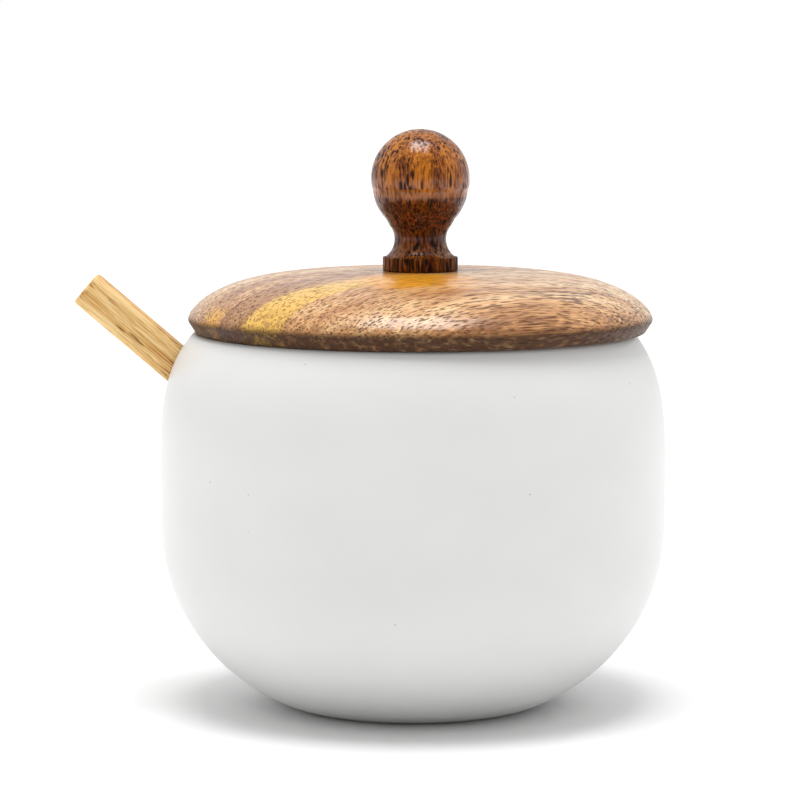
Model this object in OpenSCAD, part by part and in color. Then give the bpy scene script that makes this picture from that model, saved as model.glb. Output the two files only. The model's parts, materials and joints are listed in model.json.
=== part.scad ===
// Sugar bowl: a round stoneware pot with a spoon notch in its rim, a domed wooden lid
// with a turned knob screwed on from below, and a wooden spoon whose handle leaves the
// pot through the notch.
// The origin is the centre of the pot's flat base. +Z is up, and the notch faces -X.

/* [Pot] */
// Outer radius at the widest place
pot_r = 52; // [50:0.5:54]
// Height of the widest place above the base
belly_z = 41; // [38:0.5:44]
// Radius of the flat base
base_r = 24; // [20:0.5:27]
// Height of the rim
pot_h = 77; // [75:0.5:79]
// Outer radius that the wall would reach at the height of the rim
rim_r = 45.3; // [44.8:0.1:46]
// Thickness of the fired wall
wall = 3.8; // [3.2:0.1:4.2]
// Thickness of the floor
floor_t = 4.6; // [4:0.1:5]

/* [Notch] */
// Room beside the handle in the notch
notch_play = 0.8; // [0.4:0.1:1.5]
// Gap under the handle, where it lies on the bottom of the notch
notch_gap = 0.2; // [0.1:0.05:0.3]

/* [Lid] */
// Radius at the lid's widest edge
lid_r = 47.8; // [47:0.1:50]
// Radius of the flat underside
lid_foot_r = 46.1; // [45.5:0.1:46.5]
// Height of the widest edge above the underside
lid_edge_h = 2.6; // [1.5:0.1:4]
// Height of the lid in the middle, above the underside
lid_h = 12.4; // [11:0.1:14]
// Radius of the spigot that drops into the pot
spigot_r = 39.8; // [37:0.1:40]
// Depth of the spigot
spigot_h = 5; // [3:0.5:6]
// How far the lid lies off the pot's centre, within its play
lid_shift = 1.5; // [0:0.1:1.8]
// Gap between the lid's underside and the rim
seat_gap = 0.1; // [0.05:0.05:0.3]

/* [Knob] */
// Radius of the ball
ball_r = 10.1; // [9:0.1:11]
// Radius of the neck
neck_r = 5.3; // [4.8:0.1:6]
// Radius of the foot
foot_r = 7.7; // [7.2:0.1:8.5]
// Height of the foot
foot_h = 2.9; // [2.4:0.1:3.4]
// Height of the whole knob
knob_h = 29; // [28:0.1:31]

/* [Screw] */
// Outer radius of the thread
thread_r = 2; // [1.8:0.1:2.2]
// Distance from one thread to the next
thread_pitch = 1.8; // [1.5:0.1:2.2]
// Length of the screw from the face of its head to its tip
screw_l = 30; // [27:0.5:32]
// Radius of the countersunk head
head_r = 3.9; // [3.6:0.1:4.2]

/* [Spoon] */
// Thickness of the handle, a squared stick with rounded edges
handle_t = 7.4; // [6.6:0.1:7.6]
// Slope of the handle below level
handle_slope = 40.5; // [40:0.5:41]
// Length from the end of the handle to the tip of the scoop
spoon_l = 123.3; // [121.3:0.5:123.3]
// Largest half width of the scoop
scoop_r = 12.5; // [11:0.5:12.5]
// Length of the scoop
scoop_l = 36; // [32:0.5:36]
// Thickness of the scoop's wall
scoop_wall = 2.2; // [1.8:0.1:2.6]

/* [Hidden] */
$fn = 96;
stoneware = [0.93, 0.93, 0.92];
mango_wood = [0.80, 0.60, 0.38];
dark_wood = [0.48, 0.26, 0.10];
pale_wood = [0.86, 0.70, 0.47];
steel = [0.72, 0.72, 0.70];

// The wall: two curves that meet upright at the belly. These powers set how full each is.
low_z_power = 2.38;
low_r_power = 1.39;
high_power = 4.4;
inner_r = pot_r - wall;
inner_base_r = base_r - 2;
// Lean of the wall at the rim, and the round lip that closes the wall there
lean = atan((pot_r - rim_r) * high_power / (pot_h - belly_z));
lip_r = wall / 2;
lip_z = pot_h - lip_r;
lip_out_z = lip_z + lip_r * sin(lean);
lip_c = outer_high(lip_out_z) - lip_r * cos(lean);
lip_in_z = lip_z - lip_r * sin(lean);
lip_in_r = lip_c - lip_r * cos(lean);
inner_power = tan(lean) * (lip_in_z - belly_z) / (inner_r - lip_in_r);

function low(z, r0, r1, z0) =
    r0 + (r1 - r0) * pow(1 - pow((belly_z - z) / (belly_z - z0), low_z_power), 1 / low_r_power);
function outer_high(z) =
    pot_r - (pot_r - rim_r) * pow((z - belly_z) / (pot_h - belly_z), high_power);
function inner_high(z) =
    inner_r - (inner_r - lip_in_r) * pow((z - belly_z) / (lip_in_z - belly_z), inner_power);
// Heights that crowd together towards z0, where the curve turns fastest
function from_floor(z0, t) = belly_z - (belly_z - z0) * cos(90 * t);
function to_rim(z1, t) = belly_z + (z1 - belly_z) * sin(90 * t);

// The spoon lies with the end of its handle here, and slopes down towards +X
handle_end = [-67.1, 0, 86];
handle_edge_r = 2;
// The scoop is cut from an egg whose axis lies above the handle's, level with the mouth
egg_lift = 4.2;
mouth_h = 3.4;
egg_taper = 0.16;
neck_l = 11;
neck_flare_r = 7.5;
// The knob's ball is longer below its middle than above it
ball_z = knob_h - ball_r;
ball_drop = 1.14 * ball_r;
cove_r = 4.4;
cove_z = foot_h + 3.6;
// The dome of the lid: almost flat, with a round shoulder
dome_r_power = 4.4;
dome_z_power = 1.5;
core_r = 1.35;
pilot_r = 1.4;
shank_hole_r = 2.3;
head_h = 2.4;
head_sink = 0.4;

// A square of side t with rounded corners of radius r
module squared_round(t, r) {
    square([t, t - 2 * r], center = true);
    square([t - 2 * r, t], center = true);
    for (x = [-1, 1], y = [-1, 1])
        translate([x * (t / 2 - r), y * (t / 2 - r)])
            circle(r);
}

// Places its children in the spoon's own frame: +X from the handle's end to the scoop,
// +Z square to the handle on its upper side
module along_handle() {
    translate(handle_end)
        rotate([0, handle_slope, 0])
            children();
}

// A stick of that squared section, from x0 to x1 along the handle
module stick(x0, x1, t, r) {
    translate([x0, 0, 0])
        rotate([0, 90, 0])
            linear_extrude(x1 - x0)
                squared_round(t, r);
}

module pot_section() {
    polygon(concat(
        [[0, 0]],
        [for (t = [0 : 1 / 16 : 1]) let (z = from_floor(0, t)) [low(z, base_r, pot_r, 0), z]],
        [for (t = [1 / 12 : 1 / 12 : 0.99]) let (z = to_rim(lip_out_z, t)) [outer_high(z), z]],
        [for (a = [lean : 18 : lean + 180]) [lip_c + lip_r * cos(a), lip_z + lip_r * sin(a)]],
        [for (t = [11 / 12 : -1 / 12 : 0.01]) let (z = to_rim(lip_in_z, t)) [inner_high(z), z]],
        [for (t = [1 : -1 / 16 : 0])
            let (z = from_floor(floor_t, t)) [low(z, inner_base_r, inner_r, floor_t), z]],
        [[0, floor_t]]
    ));
}

// The notch follows the handle down through the wall and is open to the rim above it
module notch_cut() {
    width = handle_t + 2 * notch_play;
    lift = notch_play - notch_gap;
    // The cut starts outside the wall and ends inside it, counted along the handle
    outside_x = 8;
    inside_x = 42;
    above_rim = 20;
    along_handle() {
        translate([0, 0, lift])
            stick(outside_x, inside_x, width, handle_edge_r + notch_play);
        translate([outside_x, -width / 2, 0])
            cube([inside_x - outside_x, width, above_rim]);
    }
}

module pot() {
    color(stoneware)
        difference() {
            rotate_extrude()
                pot_section();
            notch_cut();
        }
}

function dome(r) =
    lid_edge_h + (lid_h - lid_edge_h) * pow(1 - pow(r / lid_r, dome_r_power), 1 / dome_z_power);

module on_rim() {
    translate([lid_shift, 0, pot_h + seat_gap])
        children();
}

module lid() {
    chamfer = 0.8;
    color(mango_wood)
        on_rim()
            difference() {
                rotate_extrude()
                    polygon(concat(
                        [[0, -spigot_h], [spigot_r - chamfer, -spigot_h],
                         [spigot_r, chamfer - spigot_h], [spigot_r, 0], [lid_foot_r, 0]],
                        [for (a = [0 : 5 : 90]) [lid_r * cos(a), dome(lid_r * cos(a))]]
                    ));
                translate([0, 0, -spigot_h - 1])
                    cylinder(h = spigot_h + lid_h + 2, r = shank_hole_r);
                translate([0, 0, -spigot_h])
                    screw_seat();
            }
}

// A countersink for the screw's head, sunk a little below the face
module screw_seat() {
    translate([0, 0, -1])
        cylinder(h = 1 + head_sink, r = head_r + 0.1);
    translate([0, 0, head_sink])
        cylinder(h = head_h, r1 = head_r + 0.1, r2 = thread_r + 0.1);
}

module lid_knob() {
    color(dark_wood)
        on_rim()
            translate([0, 0, lid_h])
                difference() {
                    rotate_extrude()
                        knob_section();
                    translate([0, 0, -1])
                        cylinder(h = screw_l - spigot_h - lid_h, r = pilot_r);
                }
}

module knob_section() {
    edge = 0.4;
    cove_c = neck_r + cove_r;
    // The cove starts on the foot's ledge, and ends where the ball's lower half takes over
    ledge_a = asin((cove_z - foot_h) / cove_r);
    cove_end_a = 40;
    ball_start_a = -46;
    polygon(concat(
        [[0, 0], [foot_r - edge, 0], [foot_r, edge], [foot_r, foot_h - edge], [foot_r - edge, foot_h]],
        [for (a = [180 + ledge_a : -12 : 180 - cove_end_a])
            [cove_c + cove_r * cos(a), cove_z + cove_r * sin(a)]],
        [for (a = [ball_start_a : 8 : -1]) [ball_r * cos(a), ball_z + ball_drop * sin(a)]],
        [for (a = [0 : 7.5 : 90]) [ball_r * cos(a), ball_z + ball_r * sin(a)]]
    ));
}

module lid_screw() {
    tip_l = 3;
    slot_w = 0.9;
    slot_l = 4.6;
    slot_d = 1.5;
    thread_from = 14;
    threads = floor((screw_l - tip_l - thread_from) / thread_pitch);
    color(steel)
        on_rim()
            translate([0, 0, head_sink - spigot_h])
                difference() {
                    union() {
                        cylinder(h = head_h, r1 = head_r, r2 = thread_r);
                        cylinder(h = thread_from, r = thread_r);
                        cylinder(h = screw_l - tip_l, r = core_r);
                        translate([0, 0, screw_l - tip_l])
                            cylinder(h = tip_l, r1 = core_r, r2 = 0.2);
                        for (i = [0 : threads - 1])
                            translate([0, 0, thread_from + (i + 0.5) * thread_pitch])
                                thread_ring();
                    }
                    for (turn = [0, 90])
                        rotate(turn)
                            translate([-slot_l / 2, -slot_w / 2, -1])
                                cube([slot_l, slot_w, 1 + slot_d]);
                }
}

// One turn of the thread, as a sharp ring round the core
module thread_ring() {
    half = 0.35 * thread_pitch;
    rotate_extrude()
        polygon([[0, -half], [core_r, -half], [thread_r, 0], [core_r, half], [0, half]]);
}

// Radius of the egg at a distance x from its rear end, for a length l and half width r
function egg(x, l, r) =
    let (u = 2 * x / l - 1)
    r * sqrt(max(0, 1 - u * u)) * (1 + egg_taper * u);

module egg_solid(l, r) {
    rotate([0, 90, 0])
        rotate_extrude()
            polygon([for (a = [0 : 10 : 180])
                let (x = l * (1 - cos(a)) / 2) [egg(x, l, r), x]]);
}

module spoon() {
    scoop_from = spoon_l - scoop_l;
    // The handle and its neck run this far into the scoop
    overlap = 4;
    color(pale_wood)
        along_handle()
            difference() {
                union() {
                    stick(0, scoop_from + overlap, handle_t, handle_edge_r);
                    intersection() {
                        union() {
                            translate([scoop_from, 0, egg_lift])
                                egg_solid(scoop_l, scoop_r);
                            translate([scoop_from - neck_l + overlap, 0, 0])
                                rotate([0, 90, 0])
                                    cylinder(h = neck_l, r1 = handle_t / 2 - 0.4, r2 = neck_flare_r);
                        }
                        translate([scoop_from - neck_l, -scoop_r - 5, mouth_h - 30])
                            cube([scoop_l + neck_l + 5, 2 * scoop_r + 10, 30]);
                    }
                }
                translate([scoop_from + scoop_wall, 0, egg_lift])
                    egg_solid(scoop_l - 2 * scoop_wall, scoop_r - scoop_wall);
            }
}

pot();
lid();
lid_knob();
lid_screw();
spoon();
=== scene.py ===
# %% [markdown]
# # A stoneware sugar bowl with a wooden lid and spoon
# The packed CAD model is the frame of this scene. It fixes where every piece is and how big it may be.
# Each visible piece is made again here as one smooth numpy surface, with the soft edges that fired clay and
# turned wood have, and stands for its CAD node. Lengths are worked out in millimetres and turned into metres
# at the very end, when a mesh is made.

# %% Load the frame
import json
import math

import bpy
import numpy as np
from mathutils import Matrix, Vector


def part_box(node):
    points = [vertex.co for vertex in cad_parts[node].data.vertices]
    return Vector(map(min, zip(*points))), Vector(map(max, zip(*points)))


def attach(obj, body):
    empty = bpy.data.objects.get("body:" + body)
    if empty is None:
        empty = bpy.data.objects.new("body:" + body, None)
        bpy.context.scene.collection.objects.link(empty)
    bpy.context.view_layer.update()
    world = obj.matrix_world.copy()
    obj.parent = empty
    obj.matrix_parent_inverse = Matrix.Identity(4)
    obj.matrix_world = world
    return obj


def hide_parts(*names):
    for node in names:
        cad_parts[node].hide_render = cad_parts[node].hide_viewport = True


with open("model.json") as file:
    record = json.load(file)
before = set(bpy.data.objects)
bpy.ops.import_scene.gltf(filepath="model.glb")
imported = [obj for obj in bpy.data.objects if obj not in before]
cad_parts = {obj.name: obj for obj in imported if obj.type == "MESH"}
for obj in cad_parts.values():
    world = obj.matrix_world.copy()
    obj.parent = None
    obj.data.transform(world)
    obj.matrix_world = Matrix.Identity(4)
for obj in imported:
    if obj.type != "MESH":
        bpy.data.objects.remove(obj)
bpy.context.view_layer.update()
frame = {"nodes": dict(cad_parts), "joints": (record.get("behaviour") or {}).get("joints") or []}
MM = 0.001


def box_mm(node):
    """The lowest and highest corners of a CAD node, in millimetres."""
    low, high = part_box(node)
    return np.array(low) / MM, np.array(high) / MM


pot_low, pot_high = box_mm("pot")
lid_low, lid_high = box_mm("lid")
knob_low, knob_high = box_mm("lid_knob")
spoon_low, spoon_high = box_mm("spoon")
POT_R = (pot_high[0] - pot_low[0]) / 2
POT_H = pot_high[2]
LID_X = (lid_high[0] + lid_low[0]) / 2
LID_R = (lid_high[0] - lid_low[0]) / 2
KNOB_R = (knob_high[0] - knob_low[0]) / 2
print("pot", round(2 * POT_R, 1), "mm across,", round(POT_H, 1), "mm high; knob top", round(knob_high[2], 1))

# %% [markdown]
# ## The camera
# A long lens from some way off keeps a round pot from being swollen by perspective. The camera stands about
# seven pot widths away and a little above the knob. It could be aimed with a Track To constraint, but two
# plain angles are easier to read, and they never change.

# %% Camera
CAMERA_AT = (0.0, -716.7, 139.9)
LOOK_DOWN = 6.14
LOOK_LEFT = 0.213
LENS_MM = 157.5
SENSOR_MM = 36.0
NEAREST_M = 0.05
FARTHEST_M = 20.0

camera_data = bpy.data.cameras.new("camera")
camera_data.lens = LENS_MM
camera_data.sensor_width = SENSOR_MM
camera_data.clip_start = NEAREST_M
camera_data.clip_end = FARTHEST_M
camera = bpy.data.objects.new("camera", camera_data)
camera.location = np.array(CAMERA_AT) * MM
camera.rotation_euler = (math.radians(90 - LOOK_DOWN), 0, math.radians(LOOK_LEFT))
bpy.context.scene.collection.objects.link(camera)
bpy.context.scene.camera = camera
print("camera", CAMERA_AT, "mm, lens", LENS_MM, "mm")

# %% [markdown]
# ## From a grid of points to a mesh
# Every piece here is a grid: rows run along one parameter and columns along the other. Blender could spin or
# sweep a curve into such a shape, but a grid of points keeps the whole shape in a few lines of arithmetic,
# and the faces follow from the row and column numbers alone. A grid may close on itself in either direction,
# and a row may shrink to a single point, a pole, which is closed with a fan of triangles.

# %% Grid to mesh
def grid_mesh(name, points, columns_close=True, rows_close=False, first_pole=None, last_pole=None):
    """A mesh object from points[row, column, xyz] in mm.
    Face (i, j) joins rows i and i + 1 and columns j and j + 1, counted round where the grid closes.
    A pole is one point that closes the first or the last row with triangles."""
    rows, columns = points.shape[:2]
    number = np.arange(rows * columns).reshape(rows, columns)
    if rows_close:
        number = np.vstack([number, number[:1]])
    if columns_close:
        number = np.hstack([number, number[:, :1]])
    quads = np.stack([number[:-1, :-1], number[:-1, 1:], number[1:, 1:], number[1:, :-1]], -1).reshape(-1, 4)
    vertices = points.reshape(-1, 3)
    faces = quads.tolist()
    for pole, edge, flip in ((first_pole, number[0], True), (last_pole, number[-1], False)):
        if pole is None:
            continue
        tip = len(vertices)
        vertices = np.vstack([vertices, pole])
        ring = np.stack([edge[:-1], edge[1:], np.full(len(edge) - 1, tip)], -1)
        faces += (ring[:, ::-1] if flip else ring).tolist()
    mesh = bpy.data.meshes.new(name)
    mesh.from_pydata((vertices * MM).tolist(), [], faces)
    mesh.shade_smooth()
    mesh.validate()
    piece = bpy.data.objects.new(name, mesh)
    bpy.context.scene.collection.objects.link(piece)
    print(name, len(vertices), "points,", len(faces), "faces")
    return piece


print("lengths are in mm, and a mesh is made in metres:", MM, "m each")

# %% Turned pieces
def turned(name, outline, columns, axis_x, base_z, closed_loop=False):
    """A turned piece: the outline (radius, height), in mm, carried round an upright axis.
    Point = (axis_x + r cos a, r sin a, base_z + h). Without closed_loop both ends of the outline lie on the
    axis and become poles."""
    angle = np.linspace(0, 2 * np.pi, columns, endpoint=False)
    ring = outline if closed_loop else outline[1:-1]
    radius, height = ring[:, :1], ring[:, 1:]
    points = np.stack([
        axis_x + radius * np.cos(angle),
        radius * np.sin(angle),
        base_z + height + 0 * angle,
    ], -1)
    poles = [None, None] if closed_loop else [np.array([axis_x, 0, base_z + outline[i, 1]]) for i in (0, -1)]
    return grid_mesh(name, points, rows_close=closed_loop, first_pole=poles[0], last_pole=poles[1])


print("turned pieces stand", round(LID_X, 2), "mm off the pot's axis, as the lid does")

# %% Outlines with rounded corners
MOST_OF_SIDE = 0.49


def rounded(corners, steps=8):
    """An outline through corners (x, y, radius): each corner with a radius becomes an arc that touches both
    of its sides, at radius / tan(half the corner's angle) from the corner, and before the middle of each."""
    corners = np.array(corners, float)
    out = []
    for i, (x, y, radius) in enumerate(corners):
        here = np.array([x, y])
        if radius == 0 or i in (0, len(corners) - 1):
            out.append(here[None])
            continue
        back = corners[i - 1, :2] - here
        on = corners[i + 1, :2] - here
        back_length, on_length = np.hypot(*back), np.hypot(*on)
        back, on = back / back_length, on / on_length
        half = math.acos(np.clip(back @ on, -1, 1)) / 2
        reach = min(radius / math.tan(half), MOST_OF_SIDE * back_length, MOST_OF_SIDE * on_length)
        radius = reach * math.tan(half)
        middle = here + (back + on) / np.linalg.norm(back + on) * radius / math.sin(half)
        start, end = here + back * reach - middle, here + on * reach - middle
        turn = np.arctan2(start[0] * end[1] - start[1] * end[0], start @ end)
        a = np.arctan2(start[1], start[0]) + np.linspace(0, turn, steps)
        out.append(middle + radius * np.stack([np.cos(a), np.sin(a)], -1))
    return np.vstack(out)


def spread(outline, longest):
    """The same outline with long straight stretches cut into steps no longer than longest."""
    out = [outline[:1]]
    for a, b in zip(outline[:-1], outline[1:]):
        steps = max(1, math.ceil(np.hypot(*(b - a)) / longest))
        out.append(a + (b - a) * np.linspace(0, 1, steps + 1)[1:, None])
    return np.vstack(out)


corner_line = rounded([(0, 0, 0), (10, 0, 2), (10, 10, 0)])
print("a square corner rounded by 2 mm begins", corner_line[1].round(2), "and ends", corner_line[-2].round(2))

# %% [markdown]
# ## The pot
# The pot is thrown or slip-cast stoneware: a wall about 4 mm thick that swells from a small flat foot to the
# belly and leans back in to the rim. Its outline is two curves that meet upright at the belly, so no outline
# is traced by hand. The rim is a round lip, softened by the glaze.
#
# The notch for the spoon could be cut with a Boolean modifier, but a Boolean leaves knife-sharp edges and
# long thin faces. Here the columns of the grid follow the edge of the notch instead. They crowd together at
# its cheeks, and each column's wall simply stops at the height of the edge there, under a rounded lip.

# %% The wall's two curves
BELLY_Z = 41.0
FOOT_R = 24.0
RIM_R = 45.3
WALL = 3.8
FLOOR = 4.6
INNER_R = POT_R - WALL
INNER_FOOT_R = FOOT_R - 2
LOW_POWER_R = 1.39
LOW_POWER_Z = 2.38
HIGH_POWER = 4.4
LIP_R = WALL / 2


def low_wall(z, foot, widest, floor):
    """Radius below the belly, where the two shares add up to 1:
    ((r - foot) / (widest - foot))^1.39 + ((belly - z) / (belly - floor))^2.38 = 1."""
    drop = ((BELLY_Z - z) / (BELLY_Z - floor)) ** LOW_POWER_Z
    return foot + (widest - foot) * np.maximum(1 - drop, 0) ** (1 / LOW_POWER_R)


def high_wall(z):
    """Outer radius above the belly: it falls from the widest radius with the 4.4th power of the height."""
    return POT_R - (POT_R - RIM_R) * (np.maximum(z - BELLY_Z, 0) / (POT_H - BELLY_Z)) ** HIGH_POWER


lean = math.atan((POT_R - RIM_R) * HIGH_POWER / (POT_H - BELLY_Z))
lip_z = POT_H - LIP_R
lip_out_z = lip_z + LIP_R * math.sin(lean)
lip_in_z = lip_z - LIP_R * math.sin(lean)
lip_in_r = high_wall(lip_out_z) - 2 * LIP_R * math.cos(lean)
inner_power = math.tan(lean) * (lip_in_z - BELLY_Z) / (INNER_R - lip_in_r)


def inner_high_wall(z):
    """Inner radius above the belly, shaped as the outer one so that the wall keeps its thickness."""
    return INNER_R - (INNER_R - lip_in_r) * (np.maximum(z - BELLY_Z, 0) / (lip_in_z - BELLY_Z)) ** inner_power


print("wall leans in", round(math.degrees(lean), 1), "degrees; mouth", round(2 * lip_in_r, 1), "mm across")

# %% The spoon's line, which the notch follows
draw = next(j for j in frame["joints"] if j["name"] == "spoon_draw")
SLOPE = math.atan2(draw["axis"][2], -draw["axis"][0])
ALONG = np.array([math.cos(SLOPE), 0, -math.sin(SLOPE)])
UPWARD = np.array([math.sin(SLOPE), 0, math.cos(SLOPE)])
HANDLE_T = 7.4
# The end face stands square to the handle's line: its corners are the node's lowest X and highest Z
handle_end = np.array([
    spoon_low[0] + HANDLE_T / 2 * math.sin(SLOPE),
    0,
    spoon_high[2] - HANDLE_T / 2 * math.cos(SLOPE),
])
print("handle slopes", round(math.degrees(SLOPE), 1), "degrees; its end is at", handle_end.round(1))

# %% The notch's edge, and the columns that follow it
NOTCH_GAP = 0.3
NOTCH_HALF = 4.9
NOTCH_DEPTH = 11.0
NOTCH_AT_R = 49.0
CHEEK_IN = 0.25
CHEEK_OUT = 0.35
CHEEK_BEYOND = 4.5
NOTCH_FLOOR_ROUND = 3.0
NOTCH_RIM_ROUND = 2.0
NOTCH_STEP = 0.7
PLAIN_COLUMNS = 136
notch_edge = spread(rounded([
    (0, -NOTCH_DEPTH, 0),
    (NOTCH_HALF - CHEEK_IN, -NOTCH_DEPTH, NOTCH_FLOOR_ROUND),
    (NOTCH_HALF + CHEEK_OUT, 0, NOTCH_RIM_ROUND),
    (NOTCH_HALF + CHEEK_BEYOND, 0, 0),
], steps=12), NOTCH_STEP)
notch_angle = np.arcsin(notch_edge[:, 0] / NOTCH_AT_R)
plain_angle = np.linspace(notch_angle[-1], np.pi, PLAIN_COLUMNS)[1:]
half_angle = np.concatenate([notch_angle, plain_angle])
half_open = np.concatenate([1 + notch_edge[:, 1] / NOTCH_DEPTH, np.ones(len(plain_angle))])
column_angle = np.pi + np.concatenate([half_angle, 2 * np.pi - half_angle[-2:0:-1]])
column_open = np.concatenate([half_open, half_open[-2:0:-1]])
print(len(column_angle), "columns round the pot,", 2 * len(notch_edge) - 1, "of them in the notch")

# %% The pot's surface
def saddle_z(radius, angle):
    """Height of the notch's floor: the handle's underside, less a small gap, at that radius and angle."""
    x = radius * np.cos(angle)
    under = (HANDLE_T / 2 + NOTCH_GAP) / math.cos(SLOPE)
    return handle_end[2] - (x - handle_end[0]) * math.tan(SLOPE) - under


SADDLE_SOFT = 0.9
SADDLE_OUT_R = 50.2
SADDLE_IN_R = 46.4
SADDLE_FLAT = 0.45
NOTCH_SIDE_COS = -0.88
WALL_ROWS = 46
LIP_ROWS = 24
FLAT_ROWS = 7
FIRST_RING = 0.12


def pot_rows():
    """All rows of the pot, from the middle of the foot up the outside, over the lip and down the inside to
    the middle of the floor. Each column ends its walls at its own height, between the rim and the notch's
    floor, and the lip is an arc from one wall to the other: middle + cos(t) * half chord + sin(t) * rise."""
    a, k = column_angle, column_open
    near = np.cos(a) < NOTCH_SIDE_COS
    saddle_out = np.where(near, saddle_z(SADDLE_OUT_R, a), 0) - SADDLE_SOFT
    saddle_in = np.where(near, saddle_z(SADDLE_IN_R, a), 0) - SADDLE_SOFT
    out_z = np.where(near, k * lip_out_z + (1 - k) * saddle_out, lip_out_z)
    in_z = np.where(near, k * lip_in_z + (1 - k) * saddle_in, lip_in_z)
    quarter = np.linspace(0, np.pi / 2, WALL_ROWS)[:, None]
    low_z = BELLY_Z * (1 - np.cos(quarter)) + 0 * a
    up_z = BELLY_Z + (out_z - BELLY_Z) * np.sin(quarter[1:])
    down_z = BELLY_Z + (in_z - BELLY_Z) * np.sin(quarter[::-1][:-1])
    floor_z = BELLY_Z - (BELLY_Z - FLOOR) * np.cos(quarter[::-1]) + 0 * a
    # The lip: an arc over the chord between the two walls, flatter in the notch than on the rim
    out_r, in_r = high_wall(out_z), inner_high_wall(in_z)
    half_r, half_z = (out_r - in_r) / 2, (out_z - in_z) / 2
    chord = np.hypot(half_r, half_z)
    rise = k * LIP_R + (1 - k) * SADDLE_SOFT
    flatness = 1 - SADDLE_FLAT * (1 - k)
    t = np.linspace(0, np.pi, LIP_ROWS + 2)[1:-1, None]
    side = np.sign(np.cos(t)) * np.abs(np.cos(t)) ** flatness
    over = np.sin(t) ** flatness * rise
    lip_r = (out_r + in_r) / 2 + side * half_r - over * half_z / chord
    lip_h = (out_z + in_z) / 2 + side * half_z + over * half_r / chord
    foot = np.linspace(FIRST_RING, 1, FLAT_ROWS + 1)[:-1, None] * FOOT_R + 0 * a
    inner_foot = np.linspace(1, FIRST_RING, FLAT_ROWS + 1)[1:, None] * INNER_FOOT_R + 0 * a
    radius = np.vstack([
        foot,
        low_wall(low_z, FOOT_R, POT_R, 0),
        high_wall(up_z),
        lip_r,
        inner_high_wall(down_z),
        low_wall(floor_z, INNER_FOOT_R, INNER_R, FLOOR),
        inner_foot,
    ])
    height = np.vstack([
        0 * foot,
        low_z,
        up_z,
        lip_h,
        down_z,
        floor_z,
        0 * inner_foot + FLOOR,
    ])
    return np.stack([radius * np.cos(a), radius * np.sin(a), height], -1)


pot = grid_mesh("pot_body", pot_rows(), first_pole=np.array([0, 0, 0]), last_pole=np.array([0, 0, FLOOR]))

# %% [markdown]
# ## The lid
# The lid is turned from one board: a nearly flat dome with a full round shoulder, a bevel under its widest
# edge, a flat seat for the rim and a spigot that keeps it from sliding off. A hole for the screw goes right
# through. A lathe could be copied with the Screw modifier. A turned outline does the same and lets each
# corner have the small radius that sanding leaves.

# %% Lid
SPIGOT_H = 5.0
LID_H = 12.4
EDGE_H = 2.6
SPIGOT_R = 39.8
SEAT_R = 46.1
HOLE_R = 2.3
HEAD_R = 4.0
HEAD_H = 2.4
HEAD_SINK = 0.4
DOME_POWER_R = 4.4
DOME_POWER_H = 1.5
EDGE_ROUND = 1.3
ROWS_IN_EDGE = 8
DOME_START = 2
DOME_ROWS = 90
seat_z = lid_low[2] + SPIGOT_H


def dome(r):
    """Height of the lid's top: (r / R)^4.4 + ((h - edge) / rise)^1.5 = 1."""
    return EDGE_H + (LID_H - EDGE_H) * np.maximum(1 - (r / LID_R) ** DOME_POWER_R, 0) ** (1 / DOME_POWER_H)


sweep = np.linspace(math.radians(DOME_START), math.acos(HOLE_R / LID_R), DOME_ROWS)
dome_line = np.stack([LID_R * np.cos(sweep), dome(LID_R * np.cos(sweep))], -1)
under_line = spread(rounded([
    (HOLE_R, HEAD_SINK + HEAD_H - SPIGOT_H, 0),
    (HEAD_R, HEAD_SINK - SPIGOT_H, 0.1),
    (HEAD_R, -SPIGOT_H, 0.2),
    (SPIGOT_R, -SPIGOT_H, 1.0),
    (SPIGOT_R - 0.2, 0, 0.5),
    (SEAT_R, 0, 0.45),
    (LID_R, EDGE_H, EDGE_ROUND),
    (*dome_line[ROWS_IN_EDGE], 0),
]), longest=2.0)
lid_line = np.vstack([under_line, dome_line[ROWS_IN_EDGE + 1:]])
lid = turned("lid_disc", lid_line, columns=256, axis_x=LID_X, base_z=seat_z, closed_loop=True)

# %% [markdown]
# ## The knob
# A ball knob turned between centres: a short foot with a ledge, a cove, and a ball that is a little longer
# below its middle than above. Under the ball's middle the turner left one shallow flat band. The knob is
# closed at its foot, because the screw inside it never shows.

# %% Knob
FOOT_H = 2.9
KNOB_FOOT_R = 7.7
NECK_R = 5.3
COVE_R = 4.4
COVE_Z = FOOT_H + 3.6
COVE_END = 140
COVE_ROWS = 24
BALL_LONG = 1.14
BALL_START = -46
BALL_ROWS = 80
BAND_TOP = 2.0
BAND_LOW = 3.7
BAND_DEEP = 0.16
knob_h = knob_high[2] - knob_low[2]
ball_z = knob_h - KNOB_R


def ball_line():
    """The ball from the cove up to its crown: an ellipse 1.14 times as long below its middle as above, less a
    band up to 0.16 mm deep under the middle, the product of two steps 1 / (1 + exp(distance / softness))."""
    a = np.linspace(math.radians(BALL_START), np.pi / 2, BALL_ROWS)
    tall = np.where(a < 0, BALL_LONG * KNOB_R, KNOB_R)
    r, z = KNOB_R * np.cos(a), ball_z + tall * np.sin(a)
    band = 1 / (1 + np.exp((z - (ball_z - BAND_TOP)) / 0.09)) / (1 + np.exp(((ball_z - BAND_LOW) - z) / 0.3))
    return np.stack([np.maximum(r - BAND_DEEP * band, 0), z], -1)


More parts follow.
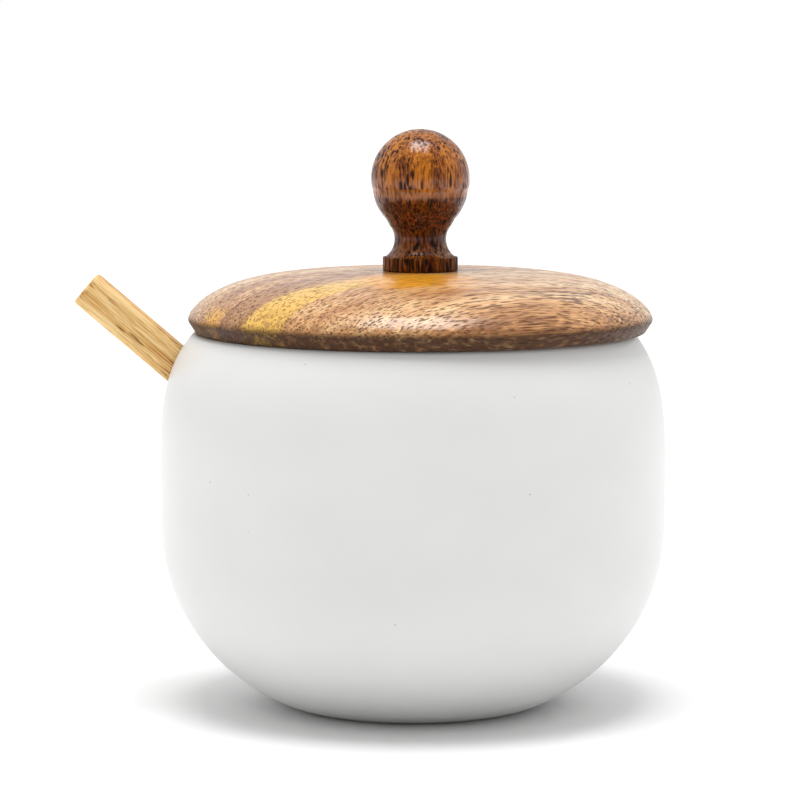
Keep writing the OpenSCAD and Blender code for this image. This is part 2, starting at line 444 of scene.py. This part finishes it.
cove_a = np.linspace(math.pi + math.asin((COVE_Z - FOOT_H) / COVE_R), math.radians(COVE_END), COVE_ROWS)
cove = np.stack([NECK_R + COVE_R + COVE_R * np.cos(cove_a), COVE_Z + COVE_R * np.sin(cove_a)], -1)
foot_line = spread(rounded([
    (0, 0, 0),
    (KNOB_FOOT_R, 0, 0.35),
    (KNOB_FOOT_R, FOOT_H, 0.45),
    (cove[0, 0], FOOT_H + 0.05, 0),
], steps=6), longest=1.0)
knob_line = np.vstack([foot_line[:-1], cove, ball_line()])
knob = turned("knob_ball", knob_line, columns=160, axis_x=LID_X, base_z=knob_low[2])

# %% [markdown]
# ## The spoon
# The spoon is cut from one stick of pale wood: a squared handle with rounded edges that swells into an
# egg-shaped scoop with a flat mouth. It is one grid. Each row is a section across the spoon, a rounded square
# in the handle that turns into an oval in the scoop, and the hollow is pressed into the upper half of the
# section. Sculpting would give the same shape but not the same one twice.

# %% The spoon's sizes and curves
SPOON_L = 123.3
SCOOP_L = 36.0
SCOOP_R = 12.5
SCOOP_WALL = 2.2
EGG_TAPER = 0.16
EGG_LIFT = 4.2
MOUTH_H = 3.4
END_ROUND = 0.7
HANDLE_POWER = 5.2
SCOOP_POWER = 2.1
STEM_REACH = 14
NECK_SOFT = 0.8
THINNEST = 0.3
SPOON_COLUMNS = 96
scoop_rear = SPOON_L - SCOOP_L
NECK_FROM = scoop_rear - 9
NECK_TO = NECK_FROM + 22


def smooth(t):
    """0 below 0, 1 above 1, and t * t * (3 - 2 t) between."""
    t = np.clip(t, 0, 1)
    return t * t * (3 - 2 * t)


def egg(x, length, half):
    """Half width of an egg at a distance x from its rear: half * sqrt(1 - u^2) * (1 + taper * u), where u
    runs from -1 at its rear to 1 at its tip."""
    u = np.clip(2 * x / length - 1, -1, 1)
    return half * np.sqrt(1 - u * u) * (1 + EGG_TAPER * u)


def soft_min(a, b, softness):
    """The smaller of two heights, blended: their mean less the root of (half difference^2 + softness^2)."""
    return (a + b) / 2 - np.sqrt(((a - b) / 2) ** 2 + softness ** 2)


print("spoon", SPOON_L, "mm long, scoop", 2 * SCOOP_R, "mm wide, neck from", round(NECK_FROM, 1), "mm")

# %% The spoon's surface
def spoon_rows():
    """Distance of each row from the handle's end, and the share of the full section that the row has.
    The end face grows from its middle, a quarter circle rounds its edge with 1 - round / half * (1 - sin(t)),
    and the rows crowd towards the scoop's tip with the sine of a quarter turn."""
    half = HANDLE_T / 2
    face = np.linspace(0.1, 1 - END_ROUND / half, 6)
    turn = np.linspace(0.2, np.pi / 2, 8)
    handle = np.linspace(2 * END_ROUND, NECK_FROM, 70)
    scoop = NECK_FROM + (SPOON_L - NECK_FROM) * np.sin(np.linspace(0, np.pi / 2, 130)[1:-1])
    s = np.concatenate([0 * face, END_ROUND * (1 - np.cos(turn)), handle, scoop])
    edge = 1 - END_ROUND / half * (1 - np.sin(turn))
    share = np.concatenate([face, edge, np.ones(len(handle) + len(scoop))])
    return s[:, None], share[:, None]


def spoon_surface():
    """Point = end + s * along + y * across + z * upward.
    Half width = (handle^6 + egg^6)^(1/6), so that the two run into each other. The section is a superellipse
    whose power falls from 5.2 in the handle to 2.1 in the scoop. Its widest level rises from the handle's
    middle to the mouth, and the hollow, depth * sqrt(1 - (y / inner)^2), is pressed into its upper half."""
    s, share = spoon_rows()
    half = HANDLE_T / 2
    blend = smooth((s - NECK_FROM) / (NECK_TO - NECK_FROM))
    outer = egg(s - scoop_rear, SCOOP_L, SCOOP_R)
    inner = egg(s - scoop_rear - SCOOP_WALL, SCOOP_L - 2 * SCOOP_WALL, SCOOP_R - SCOOP_WALL)
    at_mouth = np.sqrt(np.maximum(outer ** 2 - (EGG_LIFT - MOUTH_H) ** 2, 0))
    stem = half * (1 - np.clip((s - scoop_rear - STEM_REACH) / (SCOOP_L - STEM_REACH), 0, 1) ** 2)
    half_width = np.maximum((stem ** 6 + at_mouth ** 6) ** (1 / 6), 0.02)
    top = half * (1 - blend) + MOUTH_H * blend
    stem_under = -half + (half + MOUTH_H + 1) * smooth((s - scoop_rear - 4) / 18)
    under = soft_min(stem_under, EGG_LIFT - outer, NECK_SOFT * smooth((s - NECK_FROM) / 9))
    under = np.minimum(under, MOUTH_H - THINNEST)
    widest = top - (top + half) / 2 * (1 - blend)
    power = 2 / (HANDLE_POWER * (1 - blend) + SCOOP_POWER * blend)
    a = np.linspace(0, 2 * np.pi, SPOON_COLUMNS, endpoint=False)
    side = np.sign(np.cos(a)) * np.abs(np.cos(a)) ** power
    lift = np.sign(np.sin(a)) * np.abs(np.sin(a)) ** power
    y = half_width * side
    z = widest + np.where(lift >= 0, top - widest, widest - under) * lift
    depth = np.maximum(inner - (EGG_LIFT - MOUTH_H), 0)
    hollow = depth * np.sqrt(np.clip(1 - (y / np.maximum(inner, 0.01)) ** 2, 0, 1))
    z = z - np.where(lift >= 0, hollow, 0)
    y, z = y * share, z * share
    return handle_end + s[..., None] * ALONG + y[..., None] * np.array([0, 1, 0]) + z[..., None] * UPWARD


spoon_tip = handle_end + SPOON_L * ALONG + (MOUTH_H - 0.6) * UPWARD
spoon = grid_mesh("spoon_wood", spoon_surface(), first_pole=handle_end, last_pole=spoon_tip)

# %% [markdown]
# ## Writing shader maths as plain expressions
# A material is a graph of nodes, and sums are Math nodes in it. Wiring them by hand hides the formula, so one
# small class, Flow, wraps a socket and gives it the arithmetic signs: 1 - mask adds its Math nodes by itself.
# Everything that isn't arithmetic on numbers comes from one method, Nodes.add, that takes a node's type, its
# settings and what goes into its sockets. The materials and the world behind the bowl are both built with it.

# %% Arithmetic on sockets
class Flow:
    """A number that flows between nodes. + - * / ** and the named methods add Math nodes."""

    def __init__(self, nodes, socket):
        self.nodes = nodes
        self.socket = socket

    def math(self, operation, *others, clamp=False):
        """This number and the others put through one Math node."""
        settings = {"operation": operation, "use_clamp": clamp}
        node = self.nodes.add("ShaderNodeMath", settings, dict(enumerate((self, *others))))
        return Flow(self.nodes, node.outputs[0])

    def __add__(self, other):
        return self.math("ADD", other)

    def __sub__(self, other):
        return self.math("SUBTRACT", other)

    def __rsub__(self, other):
        return (self * -1) + other

    def __mul__(self, other):
        return self.math("MULTIPLY", other)

    def __truediv__(self, other):
        return self.math("DIVIDE", other)

    def __pow__(self, other):
        return self.math("POWER", other)

    __radd__ = __add__
    __rmul__ = __mul__

    def size(self):
        """The number without its sign."""
        return self.math("ABSOLUTE")

    def root(self):
        """The square root."""
        return self.math("SQRT")

    def clamp(self):
        """The number, held between 0 and 1."""
        return self.math("ADD", 0.0, clamp=True)

    def step(self, low, high):
        """0 below low, 1 above high, and smooth between: a Map Range node. It falls where low > high."""
        node = self.nodes.add("ShaderNodeMapRange", {"interpolation_type": "SMOOTHSTEP"}, {
            "Value": self,
            "From Min": min(low, high),
            "From Max": max(low, high),
            "To Min": float(low > high),
            "To Max": float(low < high),
        })
        return Flow(self.nodes, node.outputs[0])


print("besides the signs, a Flow has", ", ".join(n for n in vars(Flow) if not n.startswith("_")))

# %% Any other node
class Nodes:
    """A tree of nodes, and the one method that adds any node to it."""

    def __init__(self, tree):
        self.tree = tree

    def add(self, kind, settings, inputs):
        """A node of that kind. Settings are set first, then each input gets a link or a value."""
        node = self.tree.nodes.new(kind)
        stops = settings.pop("stops", None)
        for key, value in settings.items():
            setattr(node, key, value)
        if stops:
            ramp = node.color_ramp
            while len(ramp.elements) < len(stops):
                ramp.elements.new(0.5)
            for element, (place, colour) in zip(ramp.elements, stops):
                element.position = place
                element.color = (*colour, 1)
        for key, value in inputs.items():
            self.put(node.inputs[key], value)
        return node

    def put(self, socket, value):
        """Link or value into one socket."""
        if isinstance(value, Flow):
            value = value.socket
        if isinstance(value, bpy.types.NodeSocket):
            self.tree.links.new(value, socket)
        elif isinstance(value, tuple) and len(value) == 3 and len(socket.default_value) == 4:
            socket.default_value = (*value, 1)
        else:
            socket.default_value = value

    def axes(self, where):
        """The three numbers of a place."""
        node = self.add("ShaderNodeSeparateXYZ", {}, {0: where})
        return [Flow(self, node.outputs[i]) for i in range(3)]


print("every tree has", ", ".join(n for n in vars(Nodes) if not n.startswith("_")))

# %% One material
class Finish(Nodes):
    """One material, built up node by node round a Principled shader."""

    def __init__(self, name):
        self.material = bpy.data.materials.new(name)
        self.material.use_nodes = True
        super().__init__(self.material.node_tree)
        self.shader = next(n for n in self.tree.nodes if n.type == "BSDF_PRINCIPLED")

    def place(self, turn=(0, 0, 0), centre=(0, 0, 0)):
        """Object coordinates in mm, measured from centre and then turned, in degrees."""
        where = self.add("ShaderNodeTexCoord", {}, {}).outputs["Object"]
        moved = self.add("ShaderNodeMapping", {}, {
            "Vector": where,
            "Scale": (1 / MM,) * 3,
            "Location": tuple(-c for c in centre),
        })
        spun = self.add("ShaderNodeMapping", {}, {
            "Vector": moved.outputs[0],
            "Rotation": tuple(math.radians(t) for t in turn),
        })
        return spun.outputs[0]

    def stretched(self, where, stretch, shift=(0, 0, 0)):
        """The same place with each axis divided by its stretch, in mm, and then shifted."""
        node = self.add("ShaderNodeMapping", {}, {
            "Vector": where,
            "Scale": tuple(1 / s for s in stretch),
            "Location": shift,
        })
        return node.outputs[0]

    def noise(self, where, detail=3.0, roughness=0.55):
        """Soft noise, centred on 0.5."""
        inputs = {"Vector": where, "Scale": 1.0, "Detail": detail, "Roughness": roughness}
        return Flow(self, self.add("ShaderNodeTexNoise", {}, inputs).outputs[0])

    def cells(self, where):
        """Distance to the nearest of many scattered points."""
        node = self.add("ShaderNodeTexVoronoi", {}, {"Vector": where, "Scale": 1.0})
        return Flow(self, node.outputs[0])

    def mix(self, low, high, amount):
        """One colour into another by an amount from 0 to 1."""
        node = self.add("ShaderNodeMix", {"data_type": "RGBA"}, {0: amount, 6: low, 7: high})
        return node.outputs[2]

    def ramp(self, amount, stops):
        """A number turned into a colour."""
        return self.add("ShaderNodeValToRGB", {"stops": stops}, {0: amount}).outputs[0]

    def bump(self, height, distance_mm):
        """A bump whose height of 1 stands for distance_mm."""
        inputs = {"Height": height, "Distance": distance_mm * MM, "Strength": 1.0}
        return self.add("ShaderNodeBump", {}, inputs).outputs[0]

    def finish(self, **sockets):
        """Sets the Principled shader's sockets. Base_Color stands for Base Color."""
        for name, value in sockets.items():
            self.put(self.shader.inputs[name.replace("_", " ")], value)
        return self.material


print("a material also has", ", ".join(n for n in vars(Finish) if not n.startswith("_")))

# %% Colours, and handing a piece over
def seen(red, green, blue):
    """A colour as a screen shows it, 0 to 255, turned into the linear light that shaders use: c / 12.92 in
    the darkest part and ((c + 0.055) / 1.055)^2.4 above it, the standard curve of a screen."""
    c = np.array([red, green, blue]) / 255
    return tuple(np.where(c < 0.04045, c / 12.92, ((c + 0.055) / 1.055) ** 2.4).tolist())


def wear(piece, material, node, body):
    """Gives a finished piece its material and its body, and hides the CAD node that it stands for."""
    piece.data.materials.clear()
    piece.data.materials.append(material)
    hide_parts(node)
    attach(piece, body)


print("a grey of 128 on a screen is", round(seen(128, 128, 128)[0], 3), "of white's light")

# %% [markdown]
# ## White satin glaze
# A matt-to-satin white glaze over stoneware. It looks plain, but it isn't one colour: its white drifts a
# little, it has fine throwing lines that run level round the pot, an eggshell ripple, and a few pinholes and
# scuffs where other crockery has rubbed. The foot is wiped clean of glaze and shows the raw clay.

# %% Glaze
PINHOLE = seen(150, 148, 144)
SCUFF = seen(128, 126, 124)
WIPED_TO = 0.32


def glaze():
    """White with a slow drift, grey pinholes and scuffs, and raw clay on the lowest third of a millimetre."""
    f = Finish("satin_glaze")
    where = f.place()
    height = f.axes(where)[2]
    rings = f.noise(f.stretched(where, (60, 60, 1.6)), detail=2.0)
    ripple = f.noise(f.stretched(where, (2.6, 2.6, 2.6)), detail=2.0)
    cloud = f.noise(f.stretched(where, (22, 22, 14)), detail=2.0)
    pin = f.cells(f.stretched(where, (7.5, 7.5, 7.5))).step(0.036, 0.012)
    scuff = f.cells(f.stretched(where, (34, 34, 9), (3.1, 1.7, 0.4))).step(0.028, 0.010)
    raw = height.step(WIPED_TO, 0.12)
    white = f.mix(seen(220, 220, 219), seen(228, 228, 227), cloud)
    white = f.mix(white, PINHOLE, pin * 0.55)
    white = f.mix(white, SCUFF, scuff * 0.5)
    clay = f.mix(seen(214, 202, 184), seen(188, 174, 154), f.noise(f.stretched(where, (0.7, 0.7, 0.7))))
    satin = 0.34 + 0.06 * cloud + 0.22 * scuff
    relief = 0.55 * rings + 0.30 * ripple - 0.5 * pin
    return f.finish(
        Base_Color=f.mix(white, clay, raw),
        Roughness=satin * (1 - raw) + 0.85 * raw,
        Normal=f.bump(relief, 0.030),
        IOR=1.5,
        Coat_Weight=0.12 * (1 - raw),
        Coat_Roughness=0.22,
    )


wear(pot, glaze(), "pot", "pot")
print("pot glazed white down to", WIPED_TO, "mm above its foot")

# %% [markdown]
# ## Three woods
# All the wood here is solid, so its figure has to run through the piece: a streak on top must come out at the
# edge where the board was cut. That rules out a pattern wrapped on the surface. Instead each wood is a block
# of texture in space, long along the fibre and narrow across it, and the piece is carved out of it. Pores are
# scattered cells stretched along the fibre: they show as dots on end grain and as dashes on long grain.

# %% Shared parts of the woods
PORE_CORE = 0.45


def pores(f, where, length, gap, size, shift=(0, 0, 0)):
    """Open pores: cells length mm long and gap mm apart, with a dark core of that size."""
    spots = f.cells(f.stretched(where, (length, gap, gap), shift))
    return spots.step(size, size * PORE_CORE)


def streaks(f, where, length, width, low, high, detail=4.0):
    """Streaks along the fibre: none where the noise is below low, full where it is above high."""
    lines = f.noise(f.stretched(where, (length, width, width)), detail=detail, roughness=0.6)
    return lines.step(low, high)


print("a pore is full dark within", PORE_CORE, "of its size")

# %% Where the lid's features lie, and their colours
FIBRE_TURN = 30.0
YELLOW_NEAR, YELLOW_FAR = -20.5, -10.2
PATCH_AT = (-10.5, -18.5)
PATCH_HALF = (11.5, 10.5)
CORNER_AT = 1.8
GUM_AT = -3.4
BEVEL_H = 4.1
BROWN_WEDGE = seen(160, 106, 54)
YELLOW = seen(240, 190, 78)
ORANGE = seen(246, 164, 0)
GOLD = seen(236, 172, 58)
GUM = seen(112, 44, 20)
DARK_STREAK = seen(98, 46, 22)
SOFT_STREAK = seen(150, 90, 52)
# Painted shade in brown for the lowest part of the shoulder and for the bevel under the edge
LOW_SHOULDER_SHADE = seen(138, 92, 50)
BEVEL_SHADE = seen(58, 32, 14)
LID_PORE = seen(66, 34, 14)
print("yellow band", round(YELLOW_FAR - YELLOW_NEAR, 1), "mm wide, orange patch", 2 * PATCH_HALF[0], "long")

# %% Mango wood for the lid
def mango():
    """Fibre runs 30 degrees off the X axis, so the front left edge shows end grain and the right edge long
    grain. A yellow band follows the fibre from the front left edge to the knob, and widens there into an
    orange patch. Painted shade darkens the lowest part of the shoulder in brown, and the bevel under
    the edge more."""
    f = Finish("mango_wood")
    centre = (LID_X, 0, seat_z)
    flat = f.place(centre=centre)
    where = f.place(turn=(0, 0, -FIBRE_TURN), centre=centre)
    bend = f.noise(f.stretched(where, (38, 14, 18)), detail=2.0) - 0.5
    along, across, up = f.axes(where)
    lane = across + 7 * bend
    tone = f.noise(f.stretched(where, (60, 8, 10)), detail=3.0)
    fine = f.noise(f.stretched(where, (26, 0.42, 0.42)), detail=3.0, roughness=0.7)
    mottle = f.noise(f.stretched(where, (2.4, 1.2, 1.2)), detail=3.0)
    base = f.ramp(0.55 * tone + 0.45 * fine, [
        (0.38, seen(146, 92, 50)), (0.46, seen(198, 140, 84)),
        (0.53, seen(224, 172, 114)), (0.62, seen(242, 208, 160))])
    # The brown wedge between the gum line and the yellow band, and browner wood to the right of the band
    wedge = lane.step(-12.5, -10.5) * lane.step(-3.0, -4.0) * along.step(-14, -36)
    base = f.mix(base, BROWN_WEDGE, 0.75 * wedge * (0.5 + mottle).clamp())
    edge = lane + 1.6 * (fine - 0.5) + 1.2 * (mottle - 0.5)
    yellow = edge.step(YELLOW_NEAR, YELLOW_NEAR + 1.7) * edge.step(YELLOW_FAR, YELLOW_FAR - 2.0)
    yellow = yellow * along.step(6, -8)
    base = f.mix(base, YELLOW, 0.85 * yellow)
    # The orange patch is an ellipse whose edge the grain frays
    patch_x = (along - PATCH_AT[0]) / PATCH_HALF[0]
    patch_y = (across - PATCH_AT[1]) / PATCH_HALF[1]
    patch = (patch_x ** 2 + patch_y ** 2).root() + 2.0 * (fine - 0.5) + 1.2 * (tone - 0.5)
    base = f.mix(base, ORANGE, 0.95 * patch.step(1.25, 0.7))
    # A small golden patch on the left shoulder, and a thin line of gum beside it
    corner = (lane - CORNER_AT).size().step(4.6, 3.2) * along.step(-40, -43) * up.step(7.2, 4.8)
    base = f.mix(base, GOLD, 0.9 * corner)
    gum = (lane - GUM_AT).size().step(0.40, 0.08) * along.step(-20, -34)
    base = f.mix(base, GUM, 0.85 * gum)
    # Long dark streaks where the side of the grain shows, on the right
    lines = streaks(f, where, 34, 0.7, 0.51, 0.59) * streaks(f, where, 30, 6, 0.44, 0.56, detail=2.0)
    right = f.axes(flat)[0].step(-6, 18)
    base = f.mix(base, DARK_STREAK, 0.85 * lines * right)
    base = f.mix(base, SOFT_STREAK, 0.5 * lines * (1 - right) * (1 - yellow))
    # Painted shade: the lowest part of the shoulder is mottled with brown, and the bevel is browner still
    low_shoulder_shade = up.step(8.5, 4.0) * mottle.step(0.44, 0.60)
    base = f.mix(base, LOW_SHOULDER_SHADE, 0.6 * low_shoulder_shade)
    low = (up + 2.2 * (mottle - 0.5)).step(BEVEL_H, 2.4)
    base = f.mix(base, BEVEL_SHADE, 0.95 * low * (0.45 + 1.1 * mottle).clamp())
    # Dots on end grain, dashes on long grain
    pore = (pores(f, where, 5.0, 0.66, 0.40) + pores(f, where, 3.6, 0.48, 0.36, (3.3, 7.1, 2.4))).clamp()
    base = f.mix(base, LID_PORE, 0.85 * pore * (0.3 + tone).clamp())
    return f.finish(
        Base_Color=base,
        Roughness=0.40 + 0.10 * fine + 0.2 * pore,
        Normal=f.bump(0.35 * fine - 0.8 * pore, 0.10),
        Specular_IOR_Level=0.2,
        Coat_Weight=(0.95 - 0.8 * pore) * (1 - low),
        Coat_Roughness=0.25,
    )


wear(lid, mango(), "lid", "lid")
print("lid in mango wood, fibre", FIBRE_TURN, "degrees round")

# %% Dark wood for the knob
# Painted shade on the knob begins below the first height and is full below the second, in mm above its foot
SHADE_TOP, SHADE_FULL = 17.6, 13.5
KNOB_PORE = seen(22, 5, 0)
# A paler painted reflection on the flat band under the ball's middle
BAND_REFLECTION = seen(168, 104, 48)
FOOT_GROOVE = seen(26, 6, 0)


def dark_wood():
    """The fibre stands upright. The wood is amber on top, and painted shade darkens it below the middle
    of the ball. Pores show as upright dashes, the turned band gets a paler painted reflection, and the
    foot has dark grooves."""
    f = Finish("dark_wood")
    where = f.place(turn=(0, 90, 0), centre=(LID_X, 0, knob_low[2]))
    height = f.axes(f.place(centre=(0, 0, knob_low[2])))[2]
    tone = f.noise(f.stretched(where, (16, 3.4, 3.4)), detail=3.0)
    fine = f.noise(f.stretched(where, (4.5, 0.36, 0.36)), detail=3.0, roughness=0.7)
    mottle = f.noise(f.stretched(where, (1.5, 1.2, 1.2)), detail=4.0, roughness=0.65)
    light = f.ramp(0.4 * tone + 0.4 * fine + 0.2 * mottle, [
        (0.41, seen(62, 18, 0)), (0.47, seen(124, 60, 0)), (0.56, seen(192, 114, 12))])
    # Painted shade: deep is the same wood darker, mixed in below the ball's middle, mottled, less at the foot
    deep = f.ramp(0.6 * fine + 0.4 * mottle, [
        (0.42, seen(18, 3, 0)), (0.50, seen(64, 18, 0)), (0.58, seen(122, 54, 4))])
    shaded = height.step(SHADE_TOP, SHADE_FULL)
    lower_shade = (0.95 * shaded + 1.6 * (mottle - 0.5) - 0.45 * height.step(7.5, 4.5)).clamp()
    base = f.mix(light, deep, lower_shade)
    pore = (pores(f, where, 3.4, 0.95, 0.50) + pores(f, where, 4.4, 0.62, 0.42, (4.2, 1.3, 2.2))).clamp()
    patchy = f.noise(f.stretched(where, (7, 2.6, 2.6), (1, 5, 3)), detail=2.0).step(0.40, 0.56)
    base = f.mix(base, KNOB_PORE, 0.95 * pore * (0.25 + 0.75 * patchy))
    # The flat band under the ball's middle gets a paler painted reflection
    band = height.step(15.0, 15.5) * height.step(17.2, 16.9)
    base = f.mix(base, BAND_REFLECTION, 0.4 * band)
    foot = height.step(3.4, 2.8)
    grooves = f.noise(f.stretched(where, (6, 0.55, 0.55)), detail=2.0).step(0.52, 0.42)
    base = f.mix(base, FOOT_GROOVE, 0.85 * foot * grooves)
    return f.finish(
        Base_Color=base,
        Roughness=0.36 + 0.10 * fine + 0.2 * pore,
        Normal=f.bump(0.3 * fine - 0.7 * pore, 0.07),
        Specular_IOR_Level=0.1,
        Coat_Weight=(0.9 - 0.7 * pore) * (1 - 0.75 * foot - 0.5 * lower_shade),
        Coat_Roughness=0.17,
    )


wear(knob, dark_wood(), "lid_knob", "lid")
# The knob is darkened with painted shade below the middle of its ball
print("knob in dark wood, stained below", SHADE_TOP, "mm")

# %% Pale wood for the spoon
FLECK = seen(112, 68, 28)
FLECK_LENGTH = 4.6


def pale_wood():
    """The fibre runs along the handle, with short brown flecks, and the tone drifts slowly."""
    f = Finish("pale_wood")
    where = f.place(turn=(0, -math.degrees(SLOPE), 0), centre=tuple(handle_end))
    tone = f.noise(f.stretched(where, (40, 2.2, 2.2)), detail=3.0)
    fine = f.noise(f.stretched(where, (8, 0.3, 0.3)), detail=3.0, roughness=0.7)
    base = f.ramp(0.4 * tone + 0.6 * fine, [
        (0.38, seen(184, 126, 60)), (0.48, seen(222, 176, 106)), (0.58, seen(244, 212, 154))])
    fleck = pores(f, where, FLECK_LENGTH, 0.62, 0.40) * tone.step(0.58, 0.46)
    base = f.mix(base, FLECK, 0.8 * fleck)
    return f.finish(
        Base_Color=base,
        Roughness=0.52 + 0.1 * fine + 0.15 * fleck,
        Normal=f.bump(0.35 * fine - 0.6 * fleck, 0.07),
        Specular_IOR_Level=0.3,
    )


wear(spoon, pale_wood(), "spoon", "spoon")
print("spoon in pale wood, flecks", FLECK_LENGTH, "mm long")

# %% [markdown]
# ## The screw
# The screw comes up from under the lid into the knob. Its CAD shape is right as it is, with its countersunk
# head and cross recess, so it only gets a metal: zinc-plated steel, cloudy and a little uneven.

# %% Screw
def zinc():
    """Two greys of zinc in soft clouds, rougher where they are paler."""
    f = Finish("zinc_steel")
    where = f.place(centre=(LID_X, 0, 0))
    cloud = f.noise(f.stretched(where, (1.6, 1.6, 1.6)))
    return f.finish(
        Base_Color=f.mix(seen(196, 196, 192), seen(226, 224, 214), cloud),
        Metallic=1.0,
        Roughness=0.28 + 0.16 * cloud,
        Normal=f.bump(cloud, 0.02),
    )


screw = frame["nodes"]["lid_screw"]
screw.data.materials.clear()
screw.data.materials.append(zinc())
print("screw in zinc-plated steel")

# %% [markdown]
# ## Floor and light
# The bowl stands on a plain pale floor under soft light, as in a light tent: a broad sheet of light overhead,
# which puts one small bright patch on the knob and on the lid's shoulder, and a pale world all round, which
# keeps the white pot white. One big lamp would do for the shadow, but the pot would go grey at its sides. The
# floor is a grid of one face. It glows a little away from the bowl, so that it runs into the white behind it.

# %% Floor
FLOOR_SIZE = 30000.0
FLOOR_DROP = 0.02
GLOW_FROM, GLOW_FULL = 35, 320
floor_points = np.array([[[-1, -1, 0], [1, -1, 0]], [[-1, 1, 0], [1, 1, 0]]], float) * FLOOR_SIZE / 2
floor = grid_mesh("floor", floor_points - np.array([0, 0, FLOOR_DROP]), columns_close=False)
paper = Finish("floor_paper")
paper_at = paper.place()
paper_grain = paper.noise(paper.stretched(paper_at, (30, 30, 30)))
paper_x, paper_y = paper.axes(paper_at)[:2]
far_off = (paper_x ** 2 + paper_y ** 2).root().step(GLOW_FROM, GLOW_FULL)
floor.data.materials.append(paper.finish(
    Base_Color=paper.mix(seen(249, 249, 249), seen(251, 251, 251), paper_grain),
    Roughness=0.9,
    Emission_Color=paper.mix((0, 0, 0), (1, 1, 1), far_off),
    Emission_Strength=0.45,
))

# %% Light
def lamp(name, size, at, aim, watts):
    """A white square area lamp of that size in mm at a point, facing another point. It is tipped by the angle
    between straight down and the way to its aim, and then turned to face that way."""
    data = bpy.data.lights.new(name, "AREA")
    data.size = size * MM
    data.energy = watts
    thing = bpy.data.objects.new(name, data)
    at, aim = np.array(at, float), np.array(aim, float)
    to = aim - at
    thing.location = at * MM
    tip = math.atan2(np.hypot(to[0], to[1]), -to[2])
    thing.rotation_euler = (tip, 0, math.atan2(to[1], to[0]) - np.pi / 2)
    bpy.context.scene.collection.objects.link(thing)
    print(name, "lamp of", watts, "W,", size, "mm across, at", at, "mm")


lamp("overhead", size=480, at=(-20, -110, 1000), aim=(0, 0, 60), watts=6.5)


def pale_room(front, around, seen_as):
    """The world: its strength is around behind and beside the bowl, and fades to front towards -Y, where the
    room is dimmer. Camera rays see seen_as, plain white."""
    world = bpy.data.worlds.new("pale_room")
    world.use_nodes = True
    room = Nodes(world.node_tree)
    backward = room.axes(room.add("ShaderNodeTexCoord", {}, {}).outputs["Generated"])[1]
    fade = room.add("ShaderNodeMapRange", {"interpolation_type": "SMOOTHSTEP"}, {
        "Value": backward,
        "From Min": -1.0,
        "From Max": 0.2,
        "To Min": front,
        "To Max": around,
    })
    camera_ray = room.add("ShaderNodeLightPath", {}, {}).outputs["Is Camera Ray"]
    strength = room.add("ShaderNodeMix", {}, {"Factor": camera_ray, "A": fade.outputs[0], "B": seen_as})
    background = world.node_tree.nodes["Background"]
    room.put(background.inputs["Color"], (1, 1, 1))
    room.put(background.inputs["Strength"], strength.outputs[0])
    return world


bpy.context.scene.world = pale_room(front=0.34, around=0.82, seen_as=1.0)
bpy.context.scene.view_settings.view_transform = "Standard"
print("one sheet of light overhead, and a pale room")

# %% [markdown]
# ## The end
